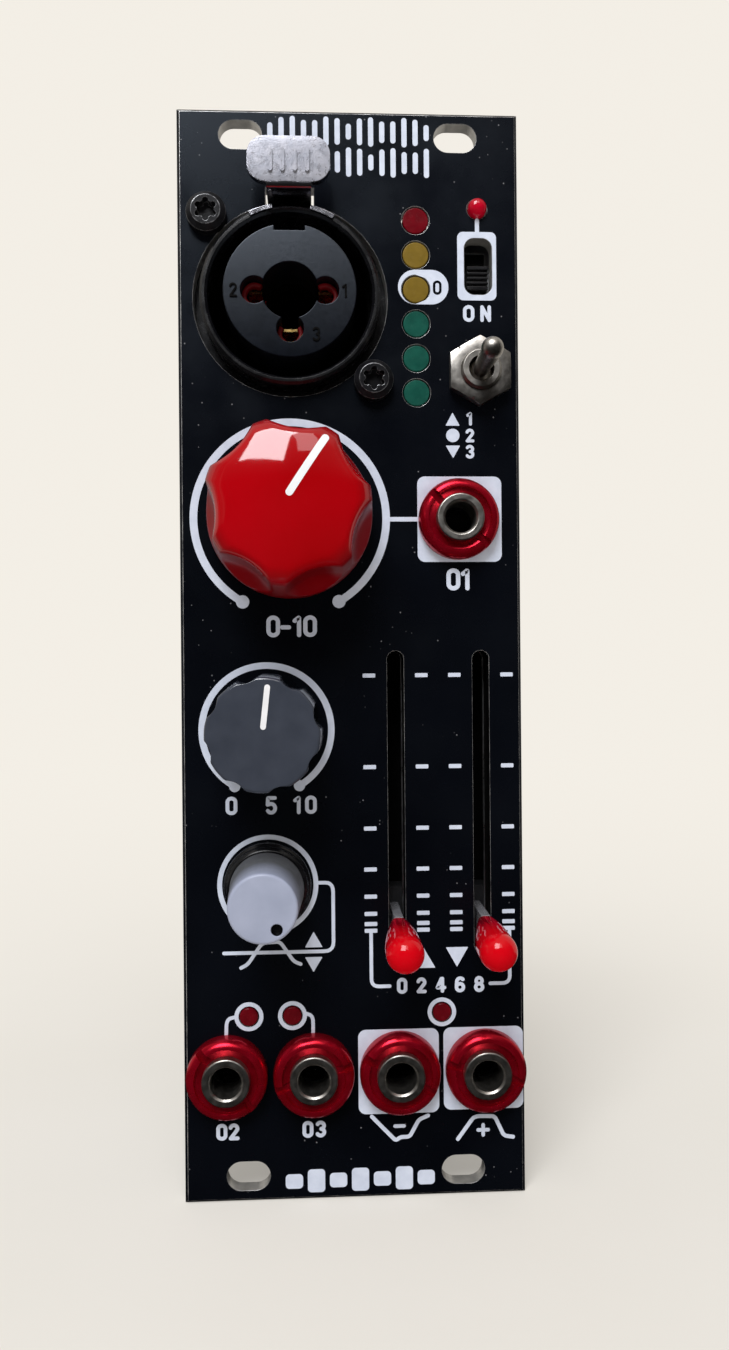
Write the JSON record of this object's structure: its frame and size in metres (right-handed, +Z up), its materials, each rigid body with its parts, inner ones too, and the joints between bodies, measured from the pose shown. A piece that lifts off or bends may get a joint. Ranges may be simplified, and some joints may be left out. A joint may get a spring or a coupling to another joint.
{
  "type": "modular synthesiser module",
  "caption": "Upright panel module with a combined plug socket, level lamps, toggle and slide switches, three turning knobs, paired faders, small sockets, and circuit boards behind.",
  "frame": {"origin": "centre of the four rail slots, on the panel's rear face", "axes": "+Z up the panel, +X to the right seen from the front, -Y out of the panel's front towards the user"},
  "size_m": [0.0404, 0.0504, 0.1284],
  "materials": {
    "panel_black": "black anodised, satin",
    "socket_black": "moulded, fine grain",
    "housing_black": "moulded",
    "carrier_red": "moulded",
    "contact_gold": "plated, bright",
    "spring_metal": "bright strip",
    "screw_black": "black coated",
    "bright_chrome": "polished plate",
    "nickel": "nickel plate",
    "case_steel": "plain",
    "nut_red": "red anodised, glossy",
    "lamp_red": "clear tinted",
    "lamp_yellow": "diffused tinted",
    "lamp_green": "diffused tinted",
    "switch_black": "moulded",
    "knob_red": "glossy",
    "knob_grey": "soft satin",
    "knob_pale": "soft satin",
    "pointer_white": "inlaid",
    "round_nut_black": "satin",
    "cap_red": "glossy",
    "lever_clear": "clear moulded",
    "track_brown": "resin board",
    "board_black": "solder-masked resin board",
    "chip_ceramic": "small chip parts"
  },
  "bodies": {
    "module": {"front_panel": "panel_black", "combo_bezel": "socket_black", "combo_clip": "bright_chrome", "combo_insert": "socket_black", "combo_carrier": "carrier_red", "combo_contacts": "contact_gold", "combo_jack_springs": "spring_metal", "combo_housing": "housing_black", "combo_screws": "screw_black", "latch_spring": "spring_metal", "lamps_red": "lamp_red", "lamps_yellow": "lamp_yellow", "lamps_green": "lamp_green", "lamp_leads": "spring_metal", "slide_switch_frame": "case_steel", "slide_switch_base": "switch_black", "toggle_body": "switch_black", "toggle_bushing": "nickel", "toggle_hardware": "nickel", "jack_bodies": "housing_black", "jack_barrels": "nickel", "jack_nuts": "nut_red", "jack_springs": "spring_metal", "pot_cases": "case_steel", "pot_bushings": "nickel", "pot_tracks": "track_brown", "pot_hardware": "nickel", "polarity_nut": "round_nut_black", "fader_cases": "case_steel", "fader_tracks": "track_brown", "control_terminals": "spring_metal", "control_board": "board_black", "main_board": "board_black", "link_headers": "housing_black", "link_sockets": "housing_black", "header_pins": "contact_gold", "power_shroud": "housing_black", "board_pillars": "nickel", "pillar_screws": "spring_metal", "circuit_packages": "switch_black", "circuit_leads": "spring_metal", "capacitor_cans": "case_steel", "chip_parts": "chip_ceramic"},
    "gain_rotor": {"gain_shaft": "nickel", "gain_knob": "knob_red", "gain_pointer": "pointer_white"},
    "envelope_rotor": {"envelope_shaft": "nickel", "envelope_knob": "knob_grey", "envelope_pointer": "pointer_white"},
    "polarity_rotor": {"polarity_shaft": "nickel", "polarity_knob": "knob_pale"},
    "rise_fader": {"rise_carriage": "switch_black", "rise_lever": "lever_clear", "rise_cap": "cap_red"},
    "fall_fader": {"fall_carriage": "switch_black", "fall_lever": "lever_clear", "fall_cap": "cap_red"},
    "supply_slider": {"slide_switch_slider": "switch_black"},
    "input_toggle": {"toggle_lever": "bright_chrome"},
    "latch": {"latch_lever": "bright_chrome"}
  },
  "joints": [
    {"name": "gain_turn", "type": "hinge", "parent": "module", "child": "gain_rotor", "pos_m": [-0.00719, 0, 0.01609], "axis": [0, 1, 0], "range_deg": [-182.6, 117.4]},
    {"name": "envelope_turn", "type": "hinge", "parent": "module", "child": "envelope_rotor", "pos_m": [-0.01016, 0, -0.00883], "axis": [0, 1, 0], "range_deg": [-156.4, 143.6]},
    {"name": "polarity_turn", "type": "hinge", "parent": "module", "child": "polarity_rotor", "pos_m": [-0.01017, 0, -0.02705], "axis": [0, 1, 0], "range_deg": [-296.3, 3.7]},
    {"name": "rise_slide", "type": "slide", "parent": "module", "child": "rise_fader", "axis": [0, 0, 1], "range_m": [0, 0.0302]},
    {"name": "fall_slide", "type": "slide", "parent": "module", "child": "fall_fader", "axis": [0, 0, 1], "range_m": [0, 0.0302]},
    {"name": "supply_slide", "type": "slide", "parent": "module", "child": "supply_slider", "axis": [0, 0, 1], "range_m": [0, 0.0024]},
    {"name": "toggle_tilt", "type": "hinge", "parent": "module", "child": "input_toggle", "pos_m": [0.0153, -0.0022, 0.0333], "axis": [1, 0, 0], "range_deg": [-12.5, 12.5]},
    {"name": "latch_press", "type": "hinge", "parent": "module", "child": "latch", "pos_m": [-0.00695, 0.008, 0.0535], "axis": [-1, 0, 0], "range_deg": [0, 5], "stiffness_Nm_per_rad": 0.05, "springref_deg": -5.73}
  ]
}
